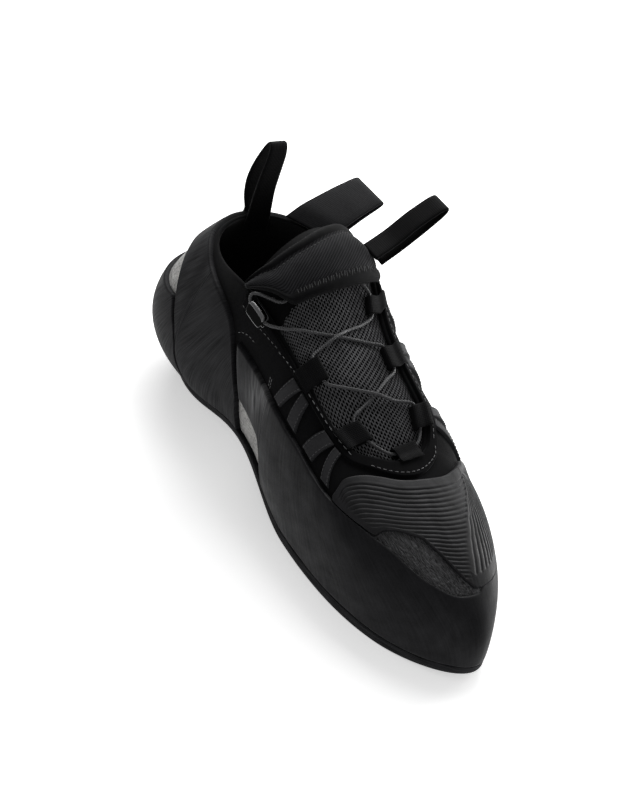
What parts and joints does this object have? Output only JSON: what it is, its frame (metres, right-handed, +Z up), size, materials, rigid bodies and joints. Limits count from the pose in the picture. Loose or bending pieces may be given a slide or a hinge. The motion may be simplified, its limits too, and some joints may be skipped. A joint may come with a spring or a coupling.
{
  "type": "climbing shoe",
  "caption": "Low climbing shoe for the right foot: thin rubber sole, rubber rands and heel, ribbed toe patch, mesh tongue, elastic lacing and pull loops.",
  "frame": {"origin": "on the floor, under the middle of the box that the whole shoe fills", "axes": "+X towards the toe, +Y towards the inner side of the foot, +Z up from the floor"},
  "size_m": [0.2506, 0.1002, 0.1222],
  "materials": {
    "sole_rubber": "matt moulded rubber",
    "rand_rubber": "smooth satin rubber sheet",
    "toe_rubber": "moulded rubber with ribs",
    "heel_rubber": "sanded rubber",
    "suede": "napped suede",
    "binding": "stitched edge",
    "webbing": "woven webbing",
    "elastic": "woven elastic",
    "spacer_mesh": "knitted mesh with holes",
    "twill": "padded twill",
    "cord": "braided elastic cord",
    "hook_plastic": "glossy moulded plastic",
    "board": "bonded fibre board"
  },
  "bodies": {
    "root": {"outsole": "sole_rubber", "insole": "board", "upper": "suede", "front_rand": "rand_rubber", "toe_patch": "toe_rubber", "heel_cup": "heel_rubber", "heel_band": "heel_rubber", "eyestay": "binding", "web_lateral_1": "webbing", "web_lateral_2": "webbing", "web_lateral_3": "webbing", "web_lateral_4": "webbing", "web_medial_1": "webbing", "web_medial_2": "webbing", "web_medial_3": "webbing", "web_medial_4": "webbing", "web_medial_5": "webbing", "web_medial_6": "webbing", "tongue": "spacer_mesh", "tongue_flap": "twill", "lace_loop_lateral_1": "webbing", "lace_loop_lateral_2": "webbing", "lace_loop_medial_1": "webbing", "lace_loop_medial_2": "webbing", "lace_loop_medial_3": "webbing", "lace_loop_toe": "webbing", "lace": "cord", "lace_hook": "hook_plastic", "heel_tab": "webbing", "elastic_loop": "elastic", "tongue_loop": "webbing"}
  },
  "joints": []
}
